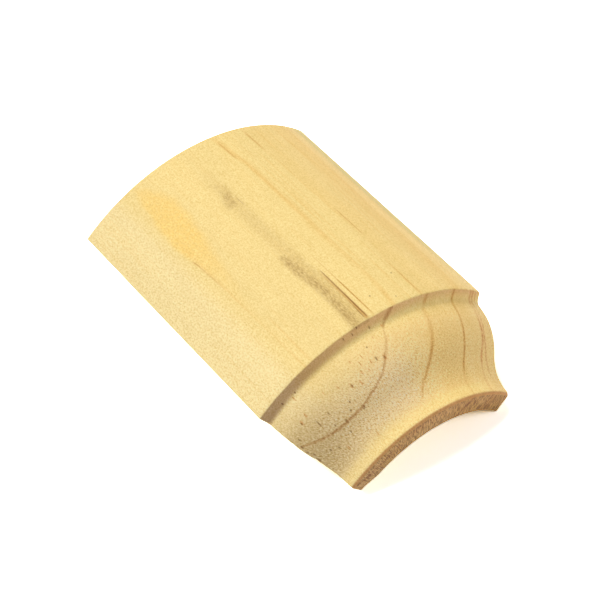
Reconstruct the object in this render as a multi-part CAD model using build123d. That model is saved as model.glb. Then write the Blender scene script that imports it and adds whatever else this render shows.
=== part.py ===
from build123d import *
import os
from math import cos, radians, tan

# Base corner block: one piece of solid pine that carries a baseboard round a rounded wall corner.
# It is one moulding profile swept through the corner's angle. It lies on its back: the hollow back
# faces down, the moulded top edge points along -Y, the floor end along +Y, and X runs across it.
# The origin is on the floor, under the middle of its length and its width. Sizes are millimetres.

# The wall corner that the hollow back fits, and the angle that the block carries the base round it
WALL_CORNER_RADIUS = 19.05
WRAP_ANGLE = 90.0

# The baseboard that the block continues
STOCK_THICKNESS = 12.7
MOULDING_HEIGHT = 63.5
MOULDED_HEIGHT = 15.5
TOP_EDGE_THICKNESS = 3.6

# The lip and the quirk: a steep shoulder under the lip, filleted into the start of the ogee
LIP_ROUND = 0.25
SHOULDER_SLOPE = 62.0
SHOULDER_FILLET = 1.3
QUIRK_RUN = 1.7
QUIRK_DEPTH = 1.8

# The ogee: a convex arc and a hollow arc, which meet part of the way along it
OGEE_END_SLOPE = 8.0
OGEE_TURN = 0.57

# The land between the ogee and the top end, and the round on the top edge
LAND_RUN = 1.0
TOP_EDGE_ROUND = 0.8

FACE_RADIUS = WALL_CORNER_RADIUS + STOCK_THICKNESS
LIP_HEIGHT = MOULDING_HEIGHT - MOULDED_HEIGHT


def at(height, depth):
    """A point of the profile, height up from the floor end and depth in from the face."""
    return (MOULDING_HEIGHT / 2 - height, FACE_RADIUS - depth)


def along(start, end, share):
    """The point that lies a share of the way from one profile point to another."""
    return tuple(a + (b - a) * share for a, b in zip(start, end))


def quirk_corner():
    """Height above the lip, and depth, where the shoulder's line meets the line into the ogee."""
    steep = tan(radians(SHOULDER_SLOPE))
    gentle = tan(radians(OGEE_END_SLOPE))
    run = (QUIRK_DEPTH - gentle * QUIRK_RUN) / (steep - gentle)
    return run, steep * run


def profile():
    """The moulding's section, as a face in the YZ plane with the corner's axis along Y."""
    gentle = tan(radians(OGEE_END_SLOPE))
    corner_run, corner_depth = quirk_corner()
    top_edge_depth = STOCK_THICKNESS - TOP_EDGE_THICKNESS

    floor_outer = at(0, 0)
    floor_inner = at(0, STOCK_THICKNESS)
    lip = at(LIP_HEIGHT, 0)
    quirk = at(LIP_HEIGHT + corner_run, corner_depth)
    ogee_start = at(LIP_HEIGHT + QUIRK_RUN, QUIRK_DEPTH)
    ogee_end = at(MOULDING_HEIGHT - LAND_RUN, top_edge_depth - gentle * LAND_RUN)
    ogee_turn = along(ogee_start, ogee_end, OGEE_TURN)
    top_edge = at(MOULDING_HEIGHT, top_edge_depth)
    top_inner = at(MOULDING_HEIGHT, STOCK_THICKNESS)

    with BuildSketch(Plane.YZ) as section:
        with BuildLine():
            FilletPolyline(
                floor_outer, lip, quirk, ogee_start, radius=[LIP_ROUND, SHOULDER_FILLET]
            )
            convex = TangentArc(ogee_start, ogee_turn, tangent=(-1, -gentle))
            TangentArc(ogee_turn, ogee_end, tangent=convex % 1)
            FilletPolyline(ogee_end, top_edge, top_inner, radius=TOP_EDGE_ROUND)
            Polyline(top_inner, floor_inner, floor_outer)
        make_face()
    return section.sketch


def corner_block():
    """The profile revolved about the wall corner's axis, then set down on its two back edges."""
    swept = revolve(profile(), axis=Axis.Y, revolution_arc=WRAP_ANGLE)
    upright = swept.rotate(Axis.Y, -WRAP_ANGLE / 2)
    back_edge_height = WALL_CORNER_RADIUS * cos(radians(WRAP_ANGLE / 2))
    return upright.translate((0, 0, -back_edge_height))


os.makedirs("parts", exist_ok=True)
export_step(corner_block(), "parts/corner_block.step")
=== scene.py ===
from math import atan2, cos, pi, radians, sin, tan

import bpy
import numpy as np
from mathutils import Matrix, Vector


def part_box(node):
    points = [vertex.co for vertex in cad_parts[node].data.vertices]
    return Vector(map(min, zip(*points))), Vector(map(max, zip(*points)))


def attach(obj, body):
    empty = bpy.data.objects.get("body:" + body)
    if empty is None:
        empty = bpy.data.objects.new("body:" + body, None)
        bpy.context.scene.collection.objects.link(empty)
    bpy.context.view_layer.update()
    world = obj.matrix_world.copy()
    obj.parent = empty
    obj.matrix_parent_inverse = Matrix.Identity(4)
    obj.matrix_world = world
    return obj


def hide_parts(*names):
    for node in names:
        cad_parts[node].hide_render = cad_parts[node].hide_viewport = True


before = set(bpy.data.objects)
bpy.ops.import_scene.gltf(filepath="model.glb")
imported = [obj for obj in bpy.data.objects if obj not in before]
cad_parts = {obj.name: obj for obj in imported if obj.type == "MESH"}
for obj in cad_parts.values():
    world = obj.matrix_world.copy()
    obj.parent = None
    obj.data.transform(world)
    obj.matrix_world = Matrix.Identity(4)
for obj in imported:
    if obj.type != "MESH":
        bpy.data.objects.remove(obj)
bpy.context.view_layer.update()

# A base corner block of raw pine: one moulding profile swept round a rounded wall corner.
# Sizes are millimetres until the mesh is made. A place on the block is given by its height up
# from the floor end, its depth in from the face, and its angle round the corner's axis.

MM = 0.001
NODE = "corner_block"

# The block's main sizes, from the frame
WRAP_ANGLE = 90.0
HALF_WRAP = radians(WRAP_ANGLE / 2)
box_low, box_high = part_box(NODE)
BLOCK_WIDTH, MOULDING_HEIGHT, BLOCK_RISE = (np.array(box_high) - np.array(box_low)) / MM
FLOOR_END_Y = box_high[1] / MM
FACE_RADIUS = BLOCK_WIDTH / 2 / sin(HALF_WRAP)
WALL_RADIUS = (FACE_RADIUS - BLOCK_RISE) / cos(HALF_WRAP)
AXIS_Z = box_low[2] / MM - WALL_RADIUS * cos(HALF_WRAP)
STOCK_THICKNESS = FACE_RADIUS - WALL_RADIUS

# The moulded edge's profile
MOULDED_HEIGHT = 15.5
TOP_EDGE_THICKNESS = 3.6
LIP_ROUND = 0.25
SHOULDER_SLOPE = 62.0
SHOULDER_FILLET = 1.3
QUIRK_RUN = 1.7
QUIRK_DEPTH = 1.8
OGEE_END_SLOPE = 8.0
OGEE_TURN = 0.57
LAND_RUN = 1.0
TOP_EDGE_ROUND = 0.8
LIP_HEIGHT = MOULDING_HEIGHT - MOULDED_HEIGHT


def arc_points(centre, radius, first, turn, count=60):
    """Points along an arc, from its first angle through its turn."""
    angles = first + turn * np.linspace(0, 1, count)
    return np.stack([centre[0] + radius * np.cos(angles), centre[1] + radius * np.sin(angles)], 1)


def shortest_turn(centre, start, end):
    """The first angle and the signed turn of the arc about a centre from start to end."""
    first = atan2(start[1] - centre[1], start[0] - centre[0])
    last = atan2(end[1] - centre[1], end[0] - centre[0])
    return first, (last - first + pi) % (2 * pi) - pi


def fillet(before, corner, after, radius):
    """The rounded corner between two straight runs, as points."""
    before, corner, after = (np.array(point, float) for point in (before, corner, after))
    back = (before - corner) / np.linalg.norm(before - corner)
    ahead = (after - corner) / np.linalg.norm(after - corner)
    half_angle = np.arccos(back @ ahead) / 2
    start = corner + back * radius / np.tan(half_angle)
    end = corner + ahead * radius / np.tan(half_angle)
    bisector = (back + ahead) / np.linalg.norm(back + ahead)
    centre = corner + bisector * radius / np.sin(half_angle)
    return arc_points(centre, radius, *shortest_turn(centre, start, end))


def tangent_arc(start, end, direction):
    """The arc that leaves start along a direction and reaches end, with its last direction."""
    start, end, direction = (np.array(point, float) for point in (start, end, direction))
    direction = direction / np.linalg.norm(direction)
    normal = np.array([-direction[1], direction[0]])
    chord = end - start
    signed_radius = (chord @ chord) / (2 * chord @ normal)
    centre = start + normal * signed_radius
    first, turn = shortest_turn(centre, start, end)
    spoke = (end - centre) / abs(signed_radius)
    last_direction = np.array([-spoke[1], spoke[0]]) * np.sign(turn)
    return arc_points(centre, abs(signed_radius), first, turn), last_direction


def outer_profile():
    """The moulding's outside line as (height, depth) points, from the floor end to the top end."""
    steep = tan(radians(SHOULDER_SLOPE))
    gentle = tan(radians(OGEE_END_SLOPE))
    corner_run = (QUIRK_DEPTH - gentle * QUIRK_RUN) / (steep - gentle)
    top_depth = STOCK_THICKNESS - TOP_EDGE_THICKNESS
    lip = (LIP_HEIGHT, 0)
    quirk = (LIP_HEIGHT + corner_run, steep * corner_run)
    ogee_start = (LIP_HEIGHT + QUIRK_RUN, QUIRK_DEPTH)
    ogee_end = (MOULDING_HEIGHT - LAND_RUN, top_depth - gentle * LAND_RUN)
    ogee_turn = tuple(a + (b - a) * OGEE_TURN for a, b in zip(ogee_start, ogee_end))
    top_edge = (MOULDING_HEIGHT, top_depth)
    top_inner = (MOULDING_HEIGHT, STOCK_THICKNESS)
    convex, turned = tangent_arc(ogee_start, ogee_turn, (1, gentle))
    hollow, _ = tangent_arc(ogee_turn, ogee_end, turned)
    return np.concatenate([
        [(0.0, 0.0)],
        fillet((0, 0), lip, quirk, LIP_ROUND),
        fillet(lip, quirk, ogee_start, SHOULDER_FILLET),
        convex,
        hollow[1:],
        fillet(ogee_end, top_edge, top_inner, TOP_EDGE_ROUND),
    ])


PROFILE = outer_profile()
PROFILE_LENGTHS = np.concatenate([[0], np.cumsum(np.hypot(*np.diff(PROFILE, axis=0).T))])


def face_depth(height):
    """How deep the outer surface lies at a height."""
    return np.interp(height, PROFILE[:, 0], PROFILE[:, 1])


# How closely the mesh follows the surface: along the profile, round the corner, and in from the
# face to the back as shares of the thickness. A zone is how far a spacing holds.
FACE_STEP = 0.8
LIP_STEP = 0.1
OGEE_STEP = 0.2
FLOOR_EDGE_STEP = 0.05
FLOOR_STEP = 0.3
FLOOR_ZONE = 1.5
LIP_ZONE = 1.0
QUIRK_ZONE = 3.0
TOP_ZONE = 2.2
AROUND_STEP = 0.27
CUT_STEP = 0.075
CUT_ZONE = 0.6
THROUGH_STEP = 0.084
THROUGH_EDGE_STEP = 0.01
THROUGH_EDGE_ZONE = 0.04
SAME_PLACE = 1e-6


def stations(total, *marks):
    """Distances from 0 to total: each mark is (end of a run, its step), and the runs join up."""
    found = [0.0]
    for end, step in (*marks, (total, marks[-1][1])):
        run = end - found[-1]
        if run > SAME_PLACE:
            count = max(1, round(run / step))
            found.extend(found[-1] + run * np.arange(1, count + 1) / count)
    return np.array(found)


# The seeds of the relief's noises, and the size of the table that they repeat over
SEED = 11
LATTICE = 256


def eased_share(share):
    """A share from 0 to 1 that starts and ends gently."""
    return share * share * (3 - 2 * share)


def ramp(value, low, high):
    """A smooth step from 0 at low to 1 at high."""
    return eased_share(np.clip((value - low) / (high - low), 0, 1))


def lattice_noise(u, v, seed):
    """Smooth noise from -1 to 1 over two coordinates, one lattice cell to each unit."""
    table = np.random.default_rng(seed).uniform(-1, 1, (LATTICE, LATTICE))
    u0 = np.floor(u).astype(int)
    v0 = np.floor(v).astype(int)
    fu = eased_share(u - u0)
    fv = eased_share(v - v0)
    u1 = (u0 + 1) % LATTICE
    v1 = (v0 + 1) % LATTICE
    u0 = u0 % LATTICE
    v0 = v0 % LATTICE
    near = table[u0, v0] * (1 - fu) + table[u1, v0] * fu
    far = table[u0, v1] * (1 - fu) + table[u1, v1] * fu
    return near * (1 - fv) + far * fv


def line_noise(u, seed, row=0):
    """The same noise along one row of its lattice."""
    return lattice_noise(u, np.full_like(u, row), seed)


# The surface's relief: depths, the noises' cells as (round the corner, along the height), the
# heights between which the fuzz comes and goes, and the angles over which it fades to the right
FUZZ_DEPTH = 0.035
FUZZ_CELL = (0.34, 0.42)
COARSE_FUZZ_CELL = (0.9, 0.7)
COARSE_FUZZ_SHARE = 0.6
FUZZ_COMES = (51.5, 54.0)
FUZZ_GOES = (60.0, 62.5)
FUZZ_FADES = (8, 26)
FUZZ_AT_RIGHT = 0.35
PLANED_DEPTH = 0.012
PLANED_CELL = (1.7, 9.0)
LIP_NICK_DEPTH = 0.05
LIP_NICK_CELL = 0.8
LIP_NICK_REACH = 0.5


def surface_relief(height, angle):
    """How far the tool marks and torn grain lie below the true outer surface."""
    around = radians(1) * angle * FACE_RADIUS
    ogee = ramp(height, *FUZZ_COMES) * (1 - ramp(height, *FUZZ_GOES))
    strength = FUZZ_AT_RIGHT + (1 - FUZZ_AT_RIGHT) * (1 - ramp(angle, *FUZZ_FADES))
    fine = lattice_noise(around / FUZZ_CELL[0], height / FUZZ_CELL[1], SEED)
    coarse = lattice_noise(around / COARSE_FUZZ_CELL[0], height / COARSE_FUZZ_CELL[1], SEED + 1)
    fuzz = fine + COARSE_FUZZ_SHARE * coarse
    relief = FUZZ_DEPTH * ogee * strength * (fuzz + 1.0)
    planed = lattice_noise(around / PLANED_CELL[0], height / PLANED_CELL[1], SEED + 2)
    relief += PLANED_DEPTH * (1 + planed)
    lip = np.exp(-(((height - LIP_HEIGHT) / LIP_NICK_REACH) ** 2))
    relief += LIP_NICK_DEPTH * lip * (1 + line_noise(around / LIP_NICK_CELL, SEED + 3))
    return relief


# The rounds on the block's arrises
CUT_ROUND = 0.18
END_ROUND = 0.25
BACK_ROUND = 0.1

# The left cut edge, ragged along the moulded part, with chips as (height, reach, depth)
RAGGED_HEIGHTS = (47.5, 50.0)
RAGGED_DEPTH = 0.12
RAGGED_CELL = 0.8
RAGGED_ROW = 4
LEFT_CHIPS = ((56.9, 0.35, 0.5), (53.6, 0.3, 0.35))

# The right cut edge, slightly uneven
UNEVEN_DEPTH = 0.06
UNEVEN_CELL = 1.5
UNEVEN_ROW = 9

# The worn corner of the top edge, at the back on the left
WORN_CORNER_DEPTH = 1.1
WORN_CORNER_ANGLES = (-45, -34.0)
WORN_CORNER_HEIGHTS = (58.0, 63.0)


def left_arris(height):
    """The left cut edge's round: worn and chipped along the moulded part."""
    ragged = RAGGED_DEPTH * (1 + line_noise(height / RAGGED_CELL, SEED + 5, RAGGED_ROW))
    for place, reach, depth in LEFT_CHIPS:
        ragged += depth * np.exp(-(((height - place) / reach) ** 2))
    return CUT_ROUND + ramp(height, *RAGGED_HEIGHTS) * ragged


def right_arris(height):
    """The right cut edge's round."""
    return CUT_ROUND + UNEVEN_DEPTH * (1 + line_noise(height / UNEVEN_CELL, SEED + 6, UNEVEN_ROW))


def wear_at_back(height, angle):
    """How much of the hollow back is worn away at the top edge's left end."""
    return WORN_CORNER_DEPTH * (1 - ramp(angle, *WORN_CORNER_ANGLES)) * ramp(height, *WORN_CORNER_HEIGHTS)


def eased(distance, radius):
    """For a point of one side, near an edge that it shares with another: how far it moves in from
    its own side, and away from the other, to round the edge off."""
    turn = radians(45) * np.clip(1 - distance / radius, 0, 1)
    near = distance < radius
    inward = np.where(near, radius * (1 - np.cos(turn)), 0)
    away = np.where(near, radius * (1 - np.sin(turn)) - distance, 0)
    return inward, away


def rounded(first, second, radius):
    """How points move to round the edge between two sides. A side is its own points, how far all
    points lie from it, and the way in from it as (depth, height, around)."""
    on_first, to_first, into_first = first
    on_second, to_second, into_second = second
    only_second = on_second & ~on_first
    inward, away = eased(to_second, radius)
    move = np.outer(np.where(on_first, inward, 0), into_first)
    move += np.outer(np.where(on_first, away, 0), into_second)
    inward, away = eased(to_first, radius)
    move += np.outer(np.where(only_second, inward, 0), into_second)
    move += np.outer(np.where(only_second, away, 0), into_first)
    return move


def mesh_lines(arc):
    """Where the mesh's lines run: along the profile, round the corner's arc, and through the wood."""
    total = PROFILE_LENGTHS[-1]
    moulding_start = LIP_HEIGHT - LIP_ZONE
    along = stations(
        total,
        (END_ROUND, FLOOR_EDGE_STEP),
        (FLOOR_ZONE, FLOOR_STEP),
        (moulding_start, FACE_STEP),
        (moulding_start + QUIRK_ZONE, LIP_STEP),
        (total - TOP_ZONE, OGEE_STEP),
        (total, LIP_STEP),
    )
    around = stations(arc, (CUT_ZONE, CUT_STEP), (arc - CUT_ZONE, AROUND_STEP), (arc, CUT_STEP))
    through = stations(
        1.0,
        (THROUGH_EDGE_ZONE, THROUGH_EDGE_STEP),
        (1 - THROUGH_EDGE_ZONE, THROUGH_STEP),
        (1.0, THROUGH_EDGE_STEP),
    )
    return along, around, through


def shell_numbers(rows, columns, layers):
    """A grid that numbers the points on its outside, and holds -1 inside."""
    number = -np.ones((rows, columns, layers), int)
    shell = np.zeros_like(number, bool)
    shell[[0, -1]] = True
    shell[:, [0, -1]] = True
    shell[:, :, [0, -1]] = True
    number[shell] = np.arange(shell.sum())
    return number


def sheet(grid, flip):
    """Quads over a two-way grid of point numbers."""
    a, b, c, d = grid[:-1, :-1], grid[1:, :-1], grid[1:, 1:], grid[:-1, 1:]
    corners = (a, d, c, b) if flip else (a, b, c, d)
    return np.stack([corner.ravel() for corner in corners], 1)


def block_mesh():
    """The block as a closed grid: rows along the profile, columns round the corner, layers in."""
    arc = 2 * HALF_WRAP * FACE_RADIUS
    along, around, through = mesh_lines(arc)
    number = shell_numbers(len(along), len(around), len(through))
    row, column, layer = np.nonzero(number >= 0)

    height = np.interp(along, PROFILE_LENGTHS, PROFILE[:, 0])[row]
    outer = np.interp(along, PROFILE_LENGTHS, PROFILE[:, 1])[row]
    depth = outer + (STOCK_THICKNESS - outer) * through[layer]
    arc_in = around[column] - arc / 2
    angle = np.degrees(arc_in / FACE_RADIUS)

    face = (layer == 0, depth - outer, (1, 0, 0))
    back = (layer == len(through) - 1, STOCK_THICKNESS - depth, (-1, 0, 0))
    floor_end = (row == 0, height, (0, 1, 0))
    top_end = (row == len(along) - 1, MOULDING_HEIGHT - height, (0, -1, 0))
    left = (column == 0, around[column], (0, 0, 1))
    right = (column == len(around) - 1, arc - around[column], (0, 0, -1))
    arrises = (
        (face, left, left_arris(height)),
        (face, right, right_arris(height)),
        (face, floor_end, END_ROUND),
        *[(back, side, BACK_ROUND) for side in (left, right, floor_end, top_end)],
        *[(end, side, CUT_ROUND) for end in (top_end, floor_end) for side in (left, right)],
    )
    move = sum(rounded(*arris) for arris in arrises)

    move[:, 0] += np.where(layer == 0, surface_relief(height, angle), 0)
    move[:, 0] -= wear_at_back(height, angle) * np.clip((depth - outer) / (STOCK_THICKNESS - outer), 0, 1)
    radius = FACE_RADIUS - (depth + move[:, 0])
    turn = (arc_in + move[:, 2]) / FACE_RADIUS
    y = FLOOR_END_Y - (height + move[:, 1])
    points = np.stack([radius * np.sin(turn), y, AXIS_Z + radius * np.cos(turn)], 1)

    faces = np.concatenate([
        sheet(number[:, :, 0], False),
        sheet(number[:, :, -1], True),
        sheet(number[0], False),
        sheet(number[-1], True),
        sheet(number[:, 0], True),
        sheet(number[:, -1], False),
    ])
    return points, faces


def new_object(name, points, faces):
    """A mesh object made from points in millimetres."""
    mesh = bpy.data.meshes.new(name)
    mesh.from_pydata((points * MM).tolist(), [], faces.tolist())
    mesh.validate()
    mesh.shade_smooth()
    made = bpy.data.objects.new(name, mesh)
    bpy.context.scene.collection.objects.link(made)
    return made


def srgb(red, green, blue):
    """A colour written as 0 to 255 display values, as the linear colour that a shader takes."""
    linear = []
    for value in (red, green, blue):
        share = value / 255
        linear.append(share / 12.92 if share <= 0.04045 else ((share + 0.055) / 1.055) ** 2.4)
    return (*linear, 1.0)


# How much of a change goes to red, green and blue, because the wood holds least blue: for the
# fine speckle, and for the torn fibres
SPECKLE_SHARES = (0.78, 1.05, 1.9)
TORN_SHARES = (0.62, 0.94, 1.4)

# A noise's middle, and the mix node's sockets for colours
NOISE_MIDDLE = 0.5
MIX_UNDER = 6
MIX_OVER = 7
MIX_RESULT = 2


class Graph:
    """A short way to write the nodes of a material or a world."""

    def __init__(self, owner):
        owner.use_nodes = True
        self.tree = owner.node_tree
        self.tree.nodes.clear()

    def finish(self, kind, shader):
        """Join a shader to the output of a material or a world."""
        out = self.node("ShaderNodeOutput" + kind)
        self.put(out.inputs["Surface"], shader.outputs[0])

    def put(self, socket, value):
        if isinstance(value, bpy.types.NodeSocket):
            self.tree.links.new(value, socket)
        else:
            socket.default_value = value

    def node(self, kind, **settings):
        made = self.tree.nodes.new(kind)
        for name, value in settings.items():
            setattr(made, name, value)
        return made

    def math(self, operation, *values, clamp=False):
        made = self.node("ShaderNodeMath", operation=operation, use_clamp=clamp)
        for socket, value in zip(made.inputs, values):
            self.put(socket, value)
        return made.outputs[0]

    def product(self, first, *others):
        for other in others:
            first = self.math("MULTIPLY", first, other)
        return first

    def total(self, first, *others):
        for other in others:
            first = self.math("ADD", first, other)
        return first

    def greatest(self, first, *others):
        for other in others:
            first = self.math("MAXIMUM", first, other)
        return first

    def minus(self, first, second):
        return self.math("SUBTRACT", first, second)

    def inverse(self, value):
        """What is left of 1."""
        return self.minus(1.0, value)

    def off_middle(self, noise):
        """A noise as a change up or down."""
        return self.minus(noise, NOISE_MIDDLE)

    def distance(self, value, centre):
        return self.math("ABSOLUTE", self.minus(value, centre))

    def smooth(self, value, low, high, start=0.0, end=1.0):
        """A smooth step from start at low to end at high."""
        made = self.node("ShaderNodeMapRange", interpolation_type="SMOOTHSTEP")
        names = ("Value", "From Min", "From Max", "To Min", "To Max")
        for name, given in zip(names, (value, low, high, start, end)):
            self.put(made.inputs[name], given)
        return made.outputs["Result"]

    def ridge(self, value, centre, half_width, core=0.0):
        """1 within the core of a centre line, and 0 from the half width on."""
        return self.smooth(self.distance(value, centre), core, half_width, 1.0, 0.0)

    def zone(self, value, low, high, soft):
        """1 between two borders, each of which fades over a soft distance to both sides."""
        after = self.smooth(self.minus(value, low), -soft, soft)
        before = self.smooth(self.minus(high, value), -soft, soft)
        return self.product(after, before)

    def vector(self, x, y, z):
        made = self.node("ShaderNodeCombineXYZ")
        for socket, value in zip(made.inputs, (x, y, z)):
            self.put(socket, value)
        return made.outputs[0]

    def noise(self, vector, detail=2.0, roughness=0.5):
        made = self.node("ShaderNodeTexNoise")
        self.put(made.inputs["Vector"], vector)
        self.put(made.inputs["Scale"], 1.0)
        self.put(made.inputs["Detail"], detail)
        self.put(made.inputs["Roughness"], roughness)
        return made.outputs["Fac"]

    def curve(self, value, points):
        """A smooth curve through given points, held level past its ends."""
        xs = [point[0] for point in points]
        ys = [point[1] for point in points]
        x_low, x_span = xs[0], xs[-1] - xs[0]
        y_low, y_span = min(ys), (max(ys) - min(ys)) or 1.0
        share = self.math("DIVIDE", self.minus(value, x_low), x_span, clamp=True)
        made = self.node("ShaderNodeFloatCurve")
        line = made.mapping.curves[0]
        while len(line.points) < len(points):
            line.points.new(0.5, 0.5)
        for spot, (x, y) in zip(line.points, points):
            spot.location = ((x - x_low) / x_span, (y - y_low) / y_span)
            spot.handle_type = "AUTO_CLAMPED"
        made.mapping.update()
        self.put(made.inputs["Value"], share)
        return self.math("MULTIPLY_ADD", made.outputs[0], y_span, y_low)

    def blend(self, share, under, over, how="MIX"):
        made = self.node("ShaderNodeMix", data_type="RGBA", blend_type=how)
        self.put(made.inputs["Factor"], share)
        self.put(made.inputs[MIX_UNDER], under)
        self.put(made.inputs[MIX_OVER], over)
        return made.outputs[MIX_RESULT]

    def toned(self, colour, tone):
        """A colour made lighter or darker by a factor."""
        grey = self.node("ShaderNodeCombineColor")
        for socket in grey.inputs:
            self.put(socket, tone)
        return self.blend(1.0, colour, grey.outputs[0], "MULTIPLY")

    def speckled(self, colour, change, shares):
        """A colour made lighter or darker, each channel by its own share of the change."""
        tint = self.node("ShaderNodeCombineColor")
        for socket, share in zip(tint.inputs, shares):
            self.put(socket, self.math("MULTIPLY_ADD", change, share, 1.0))
        return self.blend(1.0, colour, tint.outputs[0], "MULTIPLY")


class Place:
    """Where a shaded point lies on the block, in millimetres and degrees, as a material's sockets."""

    def __init__(self, g):
        self.g = g
        coordinates = g.node("ShaderNodeTexCoord").outputs["Object"]
        scaled = g.node("ShaderNodeVectorMath", operation="SCALE")
        g.put(scaled.inputs[0], coordinates)
        scaled.inputs["Scale"].default_value = 1 / MM
        split = g.node("ShaderNodeSeparateXYZ")
        g.put(split.inputs[0], scaled.outputs[0])
        self.x, self.y, self.z = split.outputs
        self.height = g.minus(FLOOR_END_Y, self.y)
        up = g.minus(self.z, AXIS_Z)
        self.angle = g.product(g.math("ARCTAN2", self.x, up), 180 / pi)
        self.around = g.product(self.angle, MM_PER_DEGREE)
        radius = self.length(self.x, up)
        self.depth = g.minus(FACE_RADIUS, radius)
        surface = g.curve(self.height, [(height, face_depth(height)) for height in SURFACE_HEIGHTS])
        self.skin = g.smooth(g.minus(self.depth, surface), *SKIN, 1.0, 0.0)

        normal = g.node("ShaderNodeSeparateXYZ")
        g.put(normal.inputs[0], g.node("ShaderNodeNewGeometry").outputs["Normal"])
        self.across_grain = g.math("ABSOLUTE", normal.outputs[1])

        pith_x = g.math("MULTIPLY_ADD", self.y, PITH_LEAN_X, PITH_X)
        pith_z = g.math("MULTIPLY_ADD", self.y, PITH_LEAN_Z, PITH_Z)
        from_x = g.minus(self.x, pith_x)
        from_z = g.minus(self.z, pith_z)
        self.from_pith = self.length(from_x, from_z)

    def length(self, a, b):
        g = self.g
        return g.math("SQRT", g.total(g.product(a, a), g.product(b, b)))

    def noise(self, across, along, seed=0.0, detail=2.0, roughness=0.5):
        """Noise with so many cells to the millimetre across and along the grain."""
        g = self.g
        x = g.math("MULTIPLY_ADD", self.x, across, seed)
        z = g.math("MULTIPLY_ADD", self.z, across, seed)
        return g.noise(g.vector(x, g.product(self.y, along), z), detail, roughness)

    def skin_noise(self, across, along, seed=0.0, detail=2.0, roughness=0.5):
        """Noise laid over the surface, with so many cells to the millimetre round and along it."""
        g = self.g
        around = g.math("MULTIPLY_ADD", self.around, across, seed)
        return g.noise(g.vector(around, g.product(self.height, along), seed), detail, roughness)


MM_PER_DEGREE = radians(1) * FACE_RADIUS

# Where the surface's depth is taken, and how deep a stain of the surface reaches under it
SURFACE_HEIGHTS = (47.5, 48.1, 48.9, 49.7, 53.0, 56.4, 59.0, 61.5, 63.5)
SKIN = (0.5, 2.5)

# The growth rings, as the cut ends show them: where the tree's pith runs past the block, how it
# leans, the ring radii, and the half width and strength of each ring's line
PITH_X = -45.68
PITH_Z = 95.59
PITH_LEAN_X = 0.127
PITH_LEAN_Z = 0.072
RINGS = (
    (91.71, 0.2, 0.8),
    (97.0, 0.5, 0.6),
    (103.41, 0.4, 0.8),
    (107.72, 0.38, 0.6),
    (108.76, 0.34, 0.6),
    (113.2, 0.4, 0.7),
)
RING_CORE = 0.05
RING_SHAKE = 0.5
RINGS_AT_BACK = 0.4

# The wood's colours, and those of the stains, lines and flecks on it
HONEY_WOOD = srgb(248, 219, 144)
PALE_WOOD = srgb(251, 225, 159)
DEEP_WOOD = srgb(244, 211, 135)
EDGE_WOOD = srgb(222, 197, 122)
WARM_WOOD = srgb(255, 219, 146)
TORN_WOOD = srgb(255, 223, 170)
LATE_WOOD = srgb(238, 196, 112)
AMBER_WOOD = srgb(253, 212, 118)
RIM_WOOD = srgb(254, 223, 144)
# Partly the torn fibres' own dull grey, partly painted shade at the left of the hollow
GREY_FIBRE_AND_SHADE = srgb(214, 184, 126)
SMUDGE = srgb(182, 146, 82)
GRAIN_LINE = srgb(228, 174, 80)
RING_LINE = srgb(174, 106, 22)
SOFT_RING = srgb(208, 142, 40)
RED_LINE = srgb(200, 118, 46)
RESIN_DARK = srgb(134, 76, 16)
RESIN_GOLD = srgb(190, 126, 20)
# Painted shade: the brown line on the top end's rounded outer edge
EDGE_SHADE_LINE = srgb(190, 112, 56)
FLECK = srgb(138, 88, 30)
ORANGE_FLECK = srgb(204, 134, 58)

# Colours that multiply the wood's own where a cut crosses the fibres
END_WOOD = srgb(216, 194, 186)
END_PORE = srgb(140, 106, 86)
SHOULDER_WOOD = srgb(249, 230, 236)

# The palest that a torn fibre gets, its painted glint included
PALEST_FIBRE = srgb(255, 236, 208)

# How strongly each of them is blended over the wood; the torn wood's share falls with the angle
TORN_SHARE = (-6.0, 8.0, 0.75, 0.0)
GREY_SHADE_SHARE = 0.85
RED_RING_SHARE = 0.95
SOFT_RING_SHARE = 0.85
RING_CORE_SHARE = 0.7
RING_CORE_FLOOR = 0.55
LOOP_SHARE = 0.8
GOLD_SHARE = 0.8
DARK_SHARE = 0.9
FLECK_SHARE = 0.75
ORANGE_FLECK_SHARE = 0.7
END_EDGE_SHADE_SHARE = 0.7
END_SHARE = 0.95

# Noises, as cells to the millimetre across and along the grain, seed, detail and roughness
MOTTLE_NOISE = (0.22, 0.05, 3.0)
STREAK_NOISE = (1.5, 0.06, 31.0, 3.0, 0.6)
RING_NOISE = (0.8, 0.3, 7.0)
AMBER_EDGE_NOISE = (0.5, 0.3, 5.0)
AMBER_FIBRE_NOISE = (2.4, 1.6, 61.0, 2.0)
STAIN_GRAIN_NOISE = (3.2, 1.3, 9.0, 3.0, 0.65)
STAIN_BLOT_NOISE = (0.9, 0.5, 13.0, 3.0)
RING_BREAK_NOISE = (2.2, 1.8, 71.0, 2.0, 0.6)
LOOP_NOISE = (1.6, 1.2, 73.0, 2.0)
LINE_BREAK_NOISE = (1.2, 0.12, 81.0, 2.0)
FLECK_NOISE = (3.2, 2.4, 91.0, 2.0)
CHATTER_NOISE = (2.8, 5.6, 47.0, 1.0, 0.6)
FINE_NOISE = (4.8, 3.0, 41.0, 1.0)

# Smooth steps of a noise, as (from, to, value at from, value at to)
MOTTLE_STEP = (0.3, 0.7, 0.98, 1.02)
STREAK_STEP = (0.46, 0.72)
AMBER_FIBRE_STEP = (0.3, 0.7, 0.75, 1.1)
STAIN_GRAIN_STEP = (0.34, 0.64, 0.45, 1.15)
STAIN_BLOT_STEP = (0.34, 0.62, 0.55, 1.0)
RING_BREAK_STEP = (0.34, 0.6, 0.4, 1.05)
GENTLE_BREAK_STEP = (0.4, 1.05, 0.75, 1.0)
LINE_BREAK_STEP = (0.3, 0.6, 0.45, 1.15)
RAGGED_STEP = (0.34, 0.56, 0.3, 1.0)
FLECK_STEP = (0.3, 1.0, 0.7, 1.0)
PORE_STEP = (0.42, 0.6)

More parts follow.
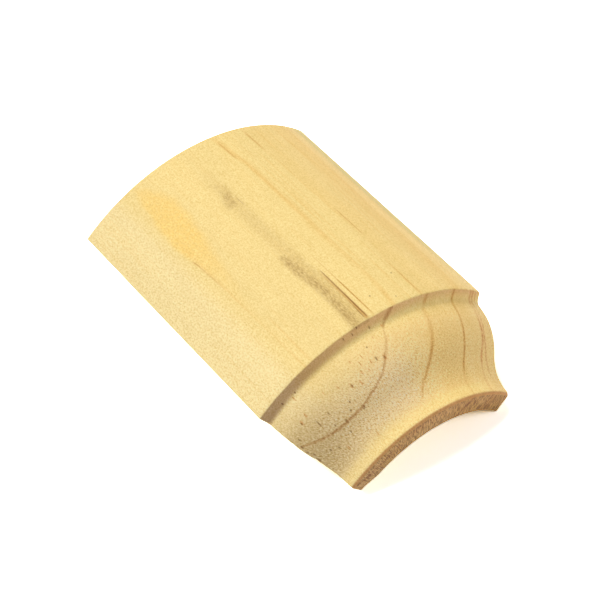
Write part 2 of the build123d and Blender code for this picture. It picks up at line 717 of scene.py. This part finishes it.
# Smooth steps over the angle or the height
PALE_SIDE = (-33.0, -27.0, 1.0, 0.0)
DEEP_SIDE = (12.0, 32.0)
EDGE_SIDE = (37.0, 42.5)
EDGE_HEIGHTS = (30.0, 48.0, 1.0, 0.0)
WARM_SIDE = (-22.0, -4.0)
WARM_HEIGHTS = (49.4, 52.0)
STREAK_SIDE = (-4.0, 20.0, 0.16, 0.52)
LATE_MOULDED_HEIGHTS = (50.5, 54.5, 0.0, 0.46)
RIM_SIDE = (28.0, 36.0, 0.7, 0.1)
ABOVE_LIP = (47.9, 48.05)
SHOULDER_HEIGHTS = (47.95, 48.1)
TORN_HEIGHTS = (49.0, 49.3)
GREY_SHADE_HEIGHTS = (49.6, 49.9)
TOP_EDGE_HEIGHTS = (62.6, 63.0)

# Bands of late wood, as (angle, half width, core, strength): two along the face, and two that
# show on the moulded edge alone
FACE_BANDS = ((20.5, 5.0, 0.5, 0.22), (32.5, 6.0, 0.5, 0.36))
MOULDED_BANDS = ((19.0, 12.0, 4.0, 1.0), (39.0, 8.0, 2.0, 0.7))

# The rim by the top end: its heights, and how softly it fades
RIM = (61.2, 63.2, 0.6)

# How far a surface is turned towards the grain's direction where it counts as an end, and where
# its rounded edge begins
END_TURN = (0.9, 0.97)
EDGE_TURN = (0.35, 0.7)
RINGS_AT_END = 0.6


def base_wood(g, at):
    """The board's own colour: paler at its left, deeper at its right, with a faint mottle."""
    colour = g.blend(g.smooth(at.angle, *PALE_SIDE), HONEY_WOOD, PALE_WOOD)
    colour = g.blend(g.smooth(at.angle, *DEEP_SIDE), colour, DEEP_WOOD)
    edge = g.product(g.smooth(at.angle, *EDGE_SIDE), g.smooth(at.height, *EDGE_HEIGHTS), at.skin)
    colour = g.blend(edge, colour, EDGE_WOOD)
    moulded = g.product(g.smooth(at.height, *WARM_HEIGHTS), g.smooth(at.angle, *WARM_SIDE), at.skin)
    colour = g.blend(moulded, colour, WARM_WOOD)
    return g.toned(colour, g.smooth(at.noise(*MOTTLE_NOISE), *MOTTLE_STEP))


def angle_bands(g, at, bands):
    """Soft bands along the grain, each given as (angle, half width, core, strength)."""
    found = []
    for angle, half_width, core, strength in bands:
        found.append(g.product(g.ridge(at.angle, angle, half_width, core), strength))
    return g.greatest(*found)


def late_wood(g, at):
    """How far the wood turns to the deeper colour of late growth, in bands and fine streaks."""
    streaks = g.smooth(at.noise(*STREAK_NOISE), *STREAK_STEP)
    streaks = g.product(streaks, g.smooth(at.angle, *STREAK_SIDE))
    moulded = g.product(angle_bands(g, at, MOULDED_BANDS), g.smooth(at.height, *LATE_MOULDED_HEIGHTS))
    return g.greatest(streaks, moulded, angle_bands(g, at, FACE_BANDS))


def ring_lines(g, at):
    """The growth rings' lines on the cut ends and the hollow back."""
    shake = g.product(g.off_middle(at.noise(*RING_NOISE)), RING_SHAKE)
    from_pith = g.total(at.from_pith, shake)
    lines = []
    for radius, half_width, strength in RINGS:
        lines.append(g.product(g.ridge(from_pith, radius, half_width, RING_CORE), strength))
    end = g.smooth(at.across_grain, *END_TURN, 0.0, RINGS_AT_END)
    inside = g.product(g.inverse(at.skin), RINGS_AT_BACK)
    return g.product(g.greatest(*lines), g.greatest(end, inside))


# The amber patch: its left and right edges as (height, angle), how far each fades in degrees, how
# far it wobbles, and its strength as (height, share)
AMBER_LEFT = [(1, -25.4), (5, -26.4), (12, -28.0), (16, -28.2), (20, -27.0), (26, -26.4), (36, -26.2)]
AMBER_RIGHT = [(1, -23.6), (3.5, -20.5), (9, -18.0), (15, -18.8), (21, -20.6), (30, -23.5)]
AMBER_LEFT_FADE = (-0.6, 1.6)
AMBER_RIGHT_FADE = (-1.8, 2.2)
AMBER_WOBBLE = 2.2
AMBER_STRENGTH = [
    (0.5, 0.1), (2.5, 0.5), (6, 0.75), (14, 0.85),
    (20, 0.65), (27, 0.3), (34, 0.1), (47, 0),
]


def amber_patch(g, at):
    """A patch of amber wood on the face, with one sharp side."""
    wobble = g.product(g.off_middle(at.skin_noise(*AMBER_EDGE_NOISE)), AMBER_WOBBLE)
    angle = g.total(at.angle, wobble)
    past_left = g.smooth(g.minus(angle, g.curve(at.height, AMBER_LEFT)), *AMBER_LEFT_FADE)
    before_right = g.smooth(g.minus(g.curve(at.height, AMBER_RIGHT), angle), *AMBER_RIGHT_FADE)
    strength = g.curve(at.height, AMBER_STRENGTH)
    fibres = g.smooth(at.skin_noise(*AMBER_FIBRE_NOISE), *AMBER_FIBRE_STEP)
    return g.product(past_left, before_right, strength, fibres, at.skin)


# The stains on the face: courses as (height, angle), strengths as (height, share), and half widths
# and cores in degrees. The lane is the darker line in the streak.
SPOT_COURSE = [(9, -6.6), (12.1, -5.2), (13.4, -6.0), (15.6, -6.6)]
SPOT_STRENGTH = [(8.5, 0), (10.4, 0.3), (12, 0.5), (13.6, 0.75), (15.2, 0.8), (16.2, 0)]
SPOT_HALF_WIDTH = 2.9
SPOT_CORE = 0.2
LINK_ANGLE = -5.3
LINK_STRENGTH = [(5, 0), (10, 0.14), (16, 0.2), (26, 0.2), (30, 0.26), (33, 0)]
LINK_HALF_WIDTH = 3.6
LINK_CORE = 0.8
STREAK_COURSE = [(28, -6.0), (34, -5.8), (40, -5.0), (48, -5.4)]
STREAK_HALF_WIDTH = [(28, 2.2), (32, 3.2), (40, 3.1), (48, 3.6)]
STREAK_STRENGTH = [(28.5, 0), (31, 0.34), (36, 0.36), (42, 0.38), (47.8, 0.42), (48.3, 0)]
STREAK_FADE = (0.5, 1.25, 1.0, 0.0)
LANE_COURSE = [(30, -7.4), (34, -7.2), (38, -6.3), (44, -6.2), (47.5, -6.8)]
LANE_STRENGTH = [(28.5, 0), (31, 0.42), (36, 0.5), (42, 0.4), (47.6, 0.46), (48.2, 0)]
LANE_HALF_WIDTH = 2.2
LANE_CORE = 0.3


def smudges(g, at):
    """The brown-grey stains on the face: a small smudge, a faint link and a long streak to the lip."""
    grain = g.smooth(at.skin_noise(*STAIN_GRAIN_NOISE), *STAIN_GRAIN_STEP)
    blots = g.smooth(at.skin_noise(*STAIN_BLOT_NOISE), *STAIN_BLOT_STEP)
    spot = g.ridge(at.angle, g.curve(at.height, SPOT_COURSE), SPOT_HALF_WIDTH, SPOT_CORE)
    spot = g.product(spot, g.curve(at.height, SPOT_STRENGTH), blots)
    link = g.ridge(at.angle, LINK_ANGLE, LINK_HALF_WIDTH, LINK_CORE)
    link = g.product(link, g.curve(at.height, LINK_STRENGTH))
    off_centre = g.distance(at.angle, g.curve(at.height, STREAK_COURSE))
    off_centre = g.math("DIVIDE", off_centre, g.curve(at.height, STREAK_HALF_WIDTH))
    streak = g.product(g.smooth(off_centre, *STREAK_FADE), g.curve(at.height, STREAK_STRENGTH))
    lane = g.ridge(at.angle, g.curve(at.height, LANE_COURSE), LANE_HALF_WIDTH, LANE_CORE)
    lane = g.product(lane, g.curve(at.height, LANE_STRENGTH), blots)
    stain = g.greatest(spot, link, g.math("ADD", streak, lane))
    return g.math("MULTIPLY", g.product(stain, at.skin), grain, clamp=True)


# Soft lines of late wood on the face. Each line is its course as (height, angle), its half width
# in millimetres, and its strength as (height, share).
GRAIN_LINES = (
    ([(0, 5.5), (6, 6.6), (10, 7.6), (40, 7.7), (48, 6.6)], 0.9,
     [(0, 0.18), (8, 0.34), (30, 0.3), (47.9, 0.36), (48.1, 0)]),
    (
        [(0, 16.6), (7, 17.0), (18, 18.9), (33, 19.2), (40, 17.5), (48, 17.3)],
        0.7,
        [(0, 0.08), (4, 0.2), (8, 0.1), (24, 0.06), (28, 0.22), (33, 0.08),
         (40, 0.2), (47.9, 0.3), (48.1, 0)],
    ),
    ([(4, 29.0), (10, 30.4), (36, 31.0)], 0.8, [(2, 0), (8, 0.1), (20, 0.1), (36, 0.06), (42, 0)]),
    ([(0, 33.6), (10, 34.5), (40, 33.5), (48, 32.6)], 1.3,
     [(0, 0.12), (12, 0.18), (47.9, 0.26), (48.1, 0)]),
    ([(0, 10.8), (10, 11.4)], 0.5, [(0, 0.12), (6, 0.12), (9, 0)]),
    ([(12, -26.0), (28, -25.9), (48, -25.5)], 0.4,
     [(12, 0), (18, 0.2), (28, 0.24), (40, 0.14), (47.9, 0.18), (48.1, 0)]),
    ([(36, -23.0), (48, -23.1)], 0.35, [(36, 0), (39.5, 0.2), (45, 0.22), (47.9, 0.1), (48.1, 0)]),
    ([(37, -29.8), (48, -30.6)], 0.3, [(36, 0), (40, 0.1), (47.9, 0.05), (48.1, 0)]),
)

# Fine lines of resin by the streak, and a few more on the face, written the same way
DARK_RESIN = (
    ([(35, -2.15), (48, -2.35)], 0.21,
     [(35.2, 0), (37.2, 0.75), (40, 0.8), (44, 1.0), (46.8, 0.85), (47.7, 0)]),
    ([(43, -2.9), (47.4, -3.2)], 0.16, [(42.8, 0), (44.5, 0.4), (46.6, 0.7), (47.4, 0)]),
    ([(14.0, -4.0), (17, -3.7)], 0.18, [(14.2, 0), (15.4, 0.4), (16.8, 0)]),
)
GOLD_RESIN = (
    ([(31, -0.5), (48, -0.35)], 0.2,
     [(31, 0), (33, 0.2), (38, 0.35), (40.2, 1.0), (44.5, 0.95), (47.6, 0.2), (48.1, 0)]),
    ([(35, -2.5), (48, -2.6)], 0.5, [(35, 0), (38, 0.35), (43, 0.6), (47.2, 0.7), (47.9, 0)]),
    ([(19.2, -27.2), (21, -26.7), (27, -26.3)], 0.2,
     [(19.3, 0), (20, 0.75), (21.2, 0.5), (25, 0.3), (28, 0)]),
    ([(1, 5.6), (7, 6.1)], 0.26, [(1.6, 0), (3.6, 0.5), (5.6, 0.5), (7.2, 0)]),
    ([(1, 16.4), (7, 16.8)], 0.3, [(1.4, 0), (3, 0.5), (5, 0.45), (7.4, 0)]),
    ([(24, 19.0), (33, 19.2)], 0.18, [(24.4, 0), (26, 0.55), (30, 0.55), (32.4, 0)]),
    ([(38, 17.5), (48, 17.3)], 0.2, [(38.5, 0), (41, 0.35), (44, 0.5), (47.9, 0.3), (48.1, 0)]),
)

# The rings that cross the moulded edge, brown ones and red ones, written the same way
CROSSING_RINGS = (
    (
        [(48.1, 19.3), (49.4, 16.8), (52.0, 15.5), (54.5, 13.2), (56.5, 9.6), (57.8, 6.0),
         (59, 2.4), (60.5, -0.4)],
        0.8,
        [(47.8, 0), (48.0, 0.3), (48.4, 0.6), (49.2, 0.25), (51, 0.3), (54, 0.5),
         (56, 0.75), (58, 0.7), (59.5, 0.35), (61.2, 0)],
    ),
    (
        [(48.0, 31.4), (49.2, 30.0), (53.2, 28.5), (55.2, 27.3), (57, 25.8), (59, 23.6),
         (60.8, 22.0), (63.3, 21.5)],
        0.52,
        [(47.8, 0), (48.0, 0.6), (48.5, 0.95), (49.2, 0.6), (52, 0.55), (55, 0.85),
         (58, 0.85), (59.2, 0.5), (61, 0.25), (63.4, 0.25)],
    ),
)
RED_RINGS = (
    ([(48.0, 39.7), (52.8, 38.2), (55.2, 37.4), (57.2, 35.8), (61.7, 33.4)], 0.55,
     [(47.8, 0), (48, 0.5), (49, 0.6), (50.5, 0.25), (54, 0.8), (57.5, 0.85), (59, 0.3), (62, 0.25)]),
    ([(48.0, 41.0), (53.2, 39.6), (56.2, 38.4), (60.4, 38.8)], 0.5,
     [(47.8, 0), (48, 0.6), (49, 0.7), (50.5, 0.2), (53, 0.6), (56.5, 0.7), (59, 0.4), (61, 0)]),
    ([(48.0, 42.4), (55.2, 43.0)], 0.3,
     [(47.8, 0), (48, 0.6), (49, 0.5), (50, 0.1), (54, 0.3), (56, 0.1)]),
)

# The ring that runs round in a loop on the moulded edge: its course as (angle, height), its half
# width in millimetres and its strength over the angle, and how far it shakes
LOOP_COURSE = [
    (-44, 54.8), (-39.6, 55.8), (-33.7, 56.6), (-24.0, 56.85), (-15.7, 56.3),
    (-11.6, 55.75), (-8.9, 55.2), (-6.6, 54.4), (-5.0, 53.6), (-3.0, 52.7),
    (-1.2, 51.5), (1.5, 49.1), (3.6, 48.5), (6.2, 48.0),
]
LOOP_HALF_WIDTH = [(-44, 0.3), (-12, 0.3), (-6.6, 0.46), (-1.0, 0.7), (1.5, 0.5), (6, 0.3)]
LOOP_STRENGTH = [
    (-45, 0.3), (-40, 0.7), (-28, 0.85), (-17, 0.85), (-10, 0.7), (-5, 0.6),
    (-3, 0.42), (0, 0.4), (1.2, 0.7), (6, 0.8), (6.4, 0),
]
LOOP_SHAKE = 0.35


def strokes(g, at, lines):
    """Thin lines along the grain."""
    found = []
    for course, half_width, strength in lines:
        centre = g.product(g.curve(at.height, course), MM_PER_DEGREE)
        line = g.ridge(at.around, centre, half_width)
        found.append(g.product(line, g.curve(at.height, strength), at.skin))
    return g.greatest(*found)


def loop_ring(g, at):
    """The ring that runs round in a loop on the moulded edge."""
    shake = g.product(g.off_middle(at.skin_noise(*LOOP_NOISE)), LOOP_SHAKE)
    centre = g.total(g.curve(at.angle, LOOP_COURSE), shake)
    line = g.ridge(at.height, centre, g.curve(at.angle, LOOP_HALF_WIDTH))
    strength = g.curve(at.angle, LOOP_STRENGTH)
    return g.product(line, strength, g.smooth(at.height, *ABOVE_LIP), at.skin)


# Short marks as (height, angle, half length, half width): brown flecks and dots, and orange ones
FLECKS = (
    (54.6, -34.7, 0.62, 0.15), (52.9, -38.3, 0.3, 0.15), (54.6, -30.3, 0.26, 0.17),
    (48.8, -37.7, 0.18, 0.16), (49.0, -32.8, 0.18, 0.16), (58.2, -36.4, 0.22, 0.18),
    (57.9, -29.4, 0.2, 0.2), (56.8, -27.9, 0.3, 0.24), (56.2, -24.5, 0.2, 0.18),
    (55.4, -22.9, 0.2, 0.17), (56.9, -20.4, 0.26, 0.34), (54.1, -19.0, 0.28, 0.17),
    (53.1, -7.6, 0.38, 0.21), (51.0, -7.8, 0.2, 0.18), (53.6, -5.1, 0.28, 0.24),
    (48.7, -3.3, 0.2, 0.17), (48.4, -9.1, 0.16, 0.14), (48.1, -7.1, 0.16, 0.14),
    (48.3, -12.1, 0.16, 0.14), (57.3, -44.4, 0.34, 0.22), (54.9, -43.9, 0.3, 0.2),
    (55.8, -44.3, 0.26, 0.16), (54.0, -42.6, 0.26, 0.16), (56.5, -43.6, 0.24, 0.16),
    (44.4, 3.1, 0.19, 0.17), (46.6, 9.5, 0.16, 0.14), (41.8, 15.0, 0.18, 0.15),
    (56.2, -31.6, 0.16, 0.13), (57.6, -39.0, 0.2, 0.2),
)
ORANGE_FLECKS = (
    (52.9, -38.0, 0.55, 0.26), (52.5, -35.5, 0.45, 0.24), (49.5, -34.3, 0.55, 0.16),
    (59.1, -34.2, 0.4, 0.26), (54.5, -16.1, 0.5, 0.24), (53.5, -13.9, 0.44, 0.18),
    (52.5, -12.7, 0.6, 0.12), (53.9, -11.6, 0.3, 0.24), (51.7, -11.0, 0.36, 0.12),
    (53.1, -9.6, 0.46, 0.14), (51.3, -14.8, 0.34, 0.12), (50.2, -4.2, 0.3, 0.16),
    (49.2, 0.6, 0.28, 0.24), (53.6, -5.0, 0.5, 0.34), (52.2, -27.0, 0.35, 0.12),
    (54.0, -19.2, 0.5, 0.24), (52.9, -22.6, 0.5, 0.12), (60.6, -22.8, 0.6, 0.16),
)
MARK_FADE = (0.4, 1.25, 1.0, 0.0)


def marks(g, at, places):
    """Short marks along the grain, one at each place."""
    found = []
    for height, angle, half_length, half_width in places:
        along = g.math("DIVIDE", g.minus(at.height, height), half_length)
        across = g.math("DIVIDE", g.minus(at.around, angle * MM_PER_DEGREE), half_width)
        found.append(g.smooth(at.length(along, across), *MARK_FADE))
    return g.product(g.greatest(*found), at.skin)


# How far the cutter tore the fibres on the moulded edge, most at the left of the hollow, and how
# far the wood there turns grey: partly the torn fibres' own dull colour, partly painted shade of
# their small shadows and of the hollow turned from the light
TORN_OVER_HEIGHT = [
    (49.2, 0.1), (52, 0.3), (54, 0.65), (56, 0.95), (59, 1), (60.4, 0.6), (62, 0.15), (63, 0.1),
]
TORN_OVER_ANGLE = [(-45, 1), (-20, 0.95), (0, 0.9), (10, 0.7), (20, 0.42), (30, 0.34), (45, 0.3)]
GREY_SHADE_OVER_HEIGHT = [(49.6, 0), (50.2, 0.15), (52, 0.4), (54, 0.85), (59, 0.9), (61.5, 0.25), (63, 0.1)]
GREY_SHADE_OVER_ANGLE = [(-45, 1), (-38, 0.85), (-30, 0.5), (-18, 0.12), (-4, 0), (45, 0)]

# The torn fibres: cells to the millimetre across and along their askew strands, detail and
# roughness, and the angles over which they give way to the cutter's chatter
STRAND_ACROSS = 4.4
STRAND_ALONG = 1.9
STRAND_DETAIL = 1.0
STRAND_ROUGHNESS = 0.6
CHATTER_SIDE = (4.0, 16.0, 1.0, 0.0)

# How much the strands lighten and darken the wood, partly their own tone and partly painted light
# and shade of their relief: in all, with a painted glint at their palest and painted shade in
# their pits at their darkest
STRAND_CHANGE = 1.6
PAINTED_GLINT_STRANDS = (0.56, 0.72, 0.0, 0.24)
PAINTED_PIT_SHADE_STRANDS = (0.44, 0.28, 0.0, -0.16)


def on_moulding(g, at, start, over_height, over_angle):
    """A strength on the moulded edge, which starts over a short run and follows two curves."""
    strength = g.product(g.curve(at.height, over_height), g.curve(at.angle, over_angle))
    return g.product(strength, g.smooth(at.height, *start), at.skin)


def tear_marks(g, at):
    """Noise drawn out askew over the fibres where they are torn, and round the corner to the right."""
    askew = g.product(g.minus(at.around, at.height), STRAND_ACROSS)
    along = g.product(g.math("ADD", at.around, at.height), STRAND_ALONG)
    strands = g.noise(g.vector(askew, along, 0.0), STRAND_DETAIL, STRAND_ROUGHNESS)
    chatter = at.skin_noise(*CHATTER_NOISE)
    left = g.smooth(at.angle, *CHATTER_SIDE)
    return g.total(g.product(strands, left), g.product(chatter, g.inverse(left)))


# The steep shoulder under the lip, as lists over the angle: the height where its tint ends, the
# tint's strength, and how much darker it is. The fade is in millimetres.
SHOULDER_END = [(-45, 49.6), (-28, 49.3), (-12, 49.2), (20, 48.9), (45, 48.7)]
SHOULDER_FADE = (0.0, 0.8)
SHOULDER_TINT = [(6, 1.0), (26, 0.75), (34, 1.0)]
SHOULDER_SHADE = [(-45, 0.38), (-30, 0.3), (-12, 0.1), (10, 0.04), (45, 0.04)]


def shoulder_tint(g, at, colour):
    """The steep shoulder under the lip: redder where it is cut half across the fibres, and darker towards
    the left.
    """
    fade = g.smooth(g.minus(g.curve(at.angle, SHOULDER_END), at.height), *SHOULDER_FADE)
    zone = g.product(g.smooth(at.height, *SHOULDER_HEIGHTS), fade, at.skin)
    tint = g.product(zone, g.curve(at.angle, SHOULDER_TINT))
    colour = g.blend(tint, colour, SHOULDER_WOOD, "MULTIPLY")
    return g.toned(colour, g.inverse(g.product(zone, g.curve(at.angle, SHOULDER_SHADE))))


# The end grain's pores: cells to the millimetre round the corner and in from the face, detail
# and roughness
PORES_AROUND = 3.2
PORES_IN = 0.8
PORE_DETAIL = 3.0
PORE_ROUGHNESS = 0.65


def end_grain(g, at, colour):
    """The darker, pored look of wood cut across its fibres, with a brown line of painted shade along its
    rounded outer edge.
    """
    end = g.smooth(at.across_grain, *END_TURN)
    # The rounded outer edge of the top end, painted a darker brown as shade
    edge = g.product(g.smooth(at.across_grain, *EDGE_TURN), g.inverse(end))
    edge = g.product(edge, g.smooth(at.height, *TOP_EDGE_HEIGHTS))
    colour = g.blend(g.product(edge, END_EDGE_SHADE_SHARE), colour, EDGE_SHADE_LINE)
    place = g.vector(g.product(at.around, PORES_AROUND), g.product(at.depth, PORES_IN), 0.0)
    pores = g.smooth(g.noise(place, PORE_DETAIL, PORE_ROUGHNESS), *PORE_STEP)
    end_colour = g.blend(pores, END_WOOD, END_PORE)
    return g.blend(g.product(end, END_SHARE), colour, end_colour, "MULTIPLY")


def planed_wood(g, at, torn):
    """The wood's colour before any line is drawn on it."""
    colour = base_wood(g, at)
    colour = g.blend(late_wood(g, at), colour, LATE_WOOD)
    colour = g.blend(amber_patch(g, at), colour, AMBER_WOOD)
    rim = g.product(g.zone(at.height, *RIM), g.smooth(at.angle, *RIM_SIDE), at.skin)
    colour = g.blend(rim, colour, RIM_WOOD)
    colour = g.blend(g.product(torn, g.smooth(at.angle, *TORN_SHARE)), colour, TORN_WOOD)
    # Grey at the left of the hollow: partly the torn fibres' dull colour, partly painted shade
    grey = on_moulding(g, at, GREY_SHADE_HEIGHTS, GREY_SHADE_OVER_HEIGHT, GREY_SHADE_OVER_ANGLE)
    colour = g.blend(g.product(grey, GREY_SHADE_SHARE), colour, GREY_FIBRE_AND_SHADE)
    return g.blend(smudges(g, at), colour, SMUDGE)


def with_lines(g, at, colour):
    """The colour with its grain, rings and resin, the moulded edge's rings broken by its texture."""
    breaks = g.smooth(at.noise(*LINE_BREAK_NOISE), *LINE_BREAK_STEP)
    colour = g.blend(g.product(strokes(g, at, GRAIN_LINES), breaks), colour, GRAIN_LINE)

    breaks = g.smooth(at.skin_noise(*RING_BREAK_NOISE), *RING_BREAK_STEP)
    red = g.product(strokes(g, at, RED_RINGS), breaks)
    colour = g.blend(g.math("MULTIPLY", red, RED_RING_SHARE, clamp=True), colour, RED_LINE)
    gentle_breaks = g.smooth(breaks, *GENTLE_BREAK_STEP)
    crossing = g.product(strokes(g, at, CROSSING_RINGS), gentle_breaks)
    colour = g.blend(g.product(crossing, SOFT_RING_SHARE), colour, SOFT_RING)
    core = g.product(g.greatest(crossing, RING_CORE_FLOOR), crossing, crossing, RING_CORE_SHARE)
    colour = g.blend(core, colour, RING_LINE)
    loop = g.product(loop_ring(g, at), gentle_breaks, LOOP_SHARE)
    colour = g.blend(g.greatest(loop, ring_lines(g, at)), colour, RING_LINE)

    colour = g.blend(g.product(strokes(g, at, GOLD_RESIN), GOLD_SHARE), colour, RESIN_GOLD)
    return g.blend(g.product(strokes(g, at, DARK_RESIN), DARK_SHARE), colour, RESIN_DARK)


# The shader's own values, and the bump: its strength, its depth in metres, and the shares of the
# torn fibres and the flecks in it
ROUGHNESS = 0.62
SPECULAR = 0.25
BUMP_STRENGTH = 0.5
BUMP_DEPTH = 0.00012
TEAR_BUMP = 1.6
FLECK_BUMP = -0.3

# How strongly the fine speckle shows: on the face, over the angle, and on the moulded edge
FACE_SPECKLE = (-32.0, -18.0, 0.68, 0.56)
MOULDED_SPECKLE = (48.8, 49.6, 0.0, 0.66)


def pine():
    """Raw pine, as a solid texture with the stains, resin and torn grain of its surface."""
    material = bpy.data.materials.new("pine")
    g = Graph(material)
    at = Place(g)
    torn = on_moulding(g, at, TORN_HEIGHTS, TORN_OVER_HEIGHT, TORN_OVER_ANGLE)
    colour = with_lines(g, at, planed_wood(g, at, torn))

    ragged = g.smooth(at.skin_noise(*FLECK_NOISE), *RAGGED_STEP)
    orange = g.product(marks(g, at, ORANGE_FLECKS), ragged, ORANGE_FLECK_SHARE)
    colour = g.blend(orange, colour, ORANGE_FLECK)
    flecks = g.product(marks(g, at, FLECKS), g.smooth(ragged, *FLECK_STEP))
    colour = g.blend(g.product(flecks, FLECK_SHARE), colour, FLECK)
    colour = end_grain(g, at, shoulder_tint(g, at, colour))

    fine = at.noise(*FINE_NOISE)
    speckle = g.greatest(g.smooth(at.angle, *FACE_SPECKLE), g.smooth(at.height, *MOULDED_SPECKLE))
    colour = g.speckled(colour, g.product(g.off_middle(fine), speckle), SPECKLE_SHARES)
    tear = tear_marks(g, at)
    strands = g.product(g.off_middle(tear), STRAND_CHANGE)
    # Painted glints at the strands' palest, and painted shade in their pits at their darkest
    strands = g.total(strands, g.smooth(tear, *PAINTED_GLINT_STRANDS), g.smooth(tear, *PAINTED_PIT_SHADE_STRANDS))
    colour = g.speckled(colour, g.product(strands, torn), TORN_SHARES)
    colour = g.blend(1.0, colour, PALEST_FIBRE, "DARKEN")

    shader = g.node("ShaderNodeBsdfPrincipled")
    g.put(shader.inputs["Base Color"], colour)
    shader.inputs["Roughness"].default_value = ROUGHNESS
    shader.inputs["Specular IOR Level"].default_value = SPECULAR
    bump = g.node("ShaderNodeBump")
    bump.inputs["Strength"].default_value = BUMP_STRENGTH
    bump.inputs["Distance"].default_value = BUMP_DEPTH
    relief = g.total(fine, g.product(tear, torn, TEAR_BUMP), g.product(flecks, FLECK_BUMP))
    g.put(bump.inputs["Height"], relief)
    g.put(shader.inputs["Normal"], bump.outputs[0])
    g.finish("Material", shader)
    return material


def corner_block():
    """The block's visible mesh, in place of the plain solid."""
    block = new_object("pine_block", *block_mesh())
    block.data.materials.append(pine())
    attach(block, "root")
    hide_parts(NODE)
    return block


# The stage: a pale floor that shows as white, and keeps the block's shadow
FLOOR_SIZE = 4000.0
FLOOR_COLOUR = (0.8, 0.8, 0.8, 1)
FLOOR_SEEN = (3.2, 3.2, 3.2, 1)


def studio_floor():
    half = FLOOR_SIZE / 2
    corners = np.array([(-half, -half, 0), (half, -half, 0), (half, half, 0), (-half, half, 0)])
    floor = new_object("studio_floor", corners, np.array([(0, 1, 2, 3)]))
    material = bpy.data.materials.new("studio_floor")
    g = Graph(material)
    shader = g.node("ShaderNodeBsdfDiffuse")
    g.put(shader.inputs["Color"], g.blend(seen_by_eye(g), FLOOR_COLOUR, FLOOR_SEEN))
    g.finish("Material", shader)
    floor.data.materials.append(material)


def seen_by_eye(g):
    """1 where the camera, a mirror image or a view through glass meets the surface."""
    path = g.node("ShaderNodeLightPath")
    straight = g.math("MAXIMUM", path.outputs["Is Camera Ray"], path.outputs["Is Glossy Ray"])
    return g.math("MAXIMUM", straight, path.outputs["Is Transmission Ray"])


# Light from all round, and soft lamps as (turn from the moulded edge's side, height, strength),
# with both angles in degrees
SKY_STRENGTH = 0.15
LAMPS = {
    "left_back": (225, 50, 2.00),
    "back": (180, 50, 1.00),
    "right_front": (45, 25, 1.14),
}
LAMP_SPREAD = 30


def studio_light():
    world = bpy.data.worlds.new("studio")
    bpy.context.scene.world = world
    g = Graph(world)
    background = g.node("ShaderNodeBackground")
    seen = seen_by_eye(g)
    g.put(background.inputs["Strength"], g.math("MULTIPLY_ADD", seen, 1 - SKY_STRENGTH, SKY_STRENGTH))
    g.finish("World", background)
    for name, (turn, lift, strength) in LAMPS.items():
        lamp = bpy.data.lights.new(name, "SUN")
        lamp.energy = strength
        lamp.angle = radians(LAMP_SPREAD)
        level = cos(radians(lift))
        direction = (sin(radians(turn)) * level, -cos(radians(turn)) * level, sin(radians(lift)))
        holder = bpy.data.objects.new(name, lamp)
        holder.rotation_euler = Vector(direction).to_track_quat("Z", "Y").to_euler()
        bpy.context.scene.collection.objects.link(holder)


# The camera's place, aim and nearest sight in metres, its lens and film width in millimetres
CAMERA_PLACE = Vector((-0.145601, -0.179512, 0.257634))
CAMERA_RIGHT = Vector((0.79429, -0.60721, 0.02002))
CAMERA_UP = Vector((0.43556, 0.59212, 0.67799))
CAMERA_LENS = 125.41
CAMERA_FILM = 36.0
CAMERA_NEAR = 0.01


def camera():
    lens = bpy.data.cameras.new("camera")
    lens.lens = CAMERA_LENS
    lens.sensor_width = CAMERA_FILM
    lens.clip_start = CAMERA_NEAR
    holder = bpy.data.objects.new("camera", lens)
    right = CAMERA_RIGHT.normalized()
    back = right.cross(CAMERA_UP).normalized()
    up = back.cross(right)
    turn = Matrix((right, up, back)).transposed()
    holder.matrix_world = Matrix.Translation(CAMERA_PLACE) @ turn.to_4x4()
    bpy.context.scene.collection.objects.link(holder)
    bpy.context.scene.camera = holder


corner_block()
studio_floor()
studio_light()
camera()
bpy.context.scene.view_settings.view_transform = "Standard"
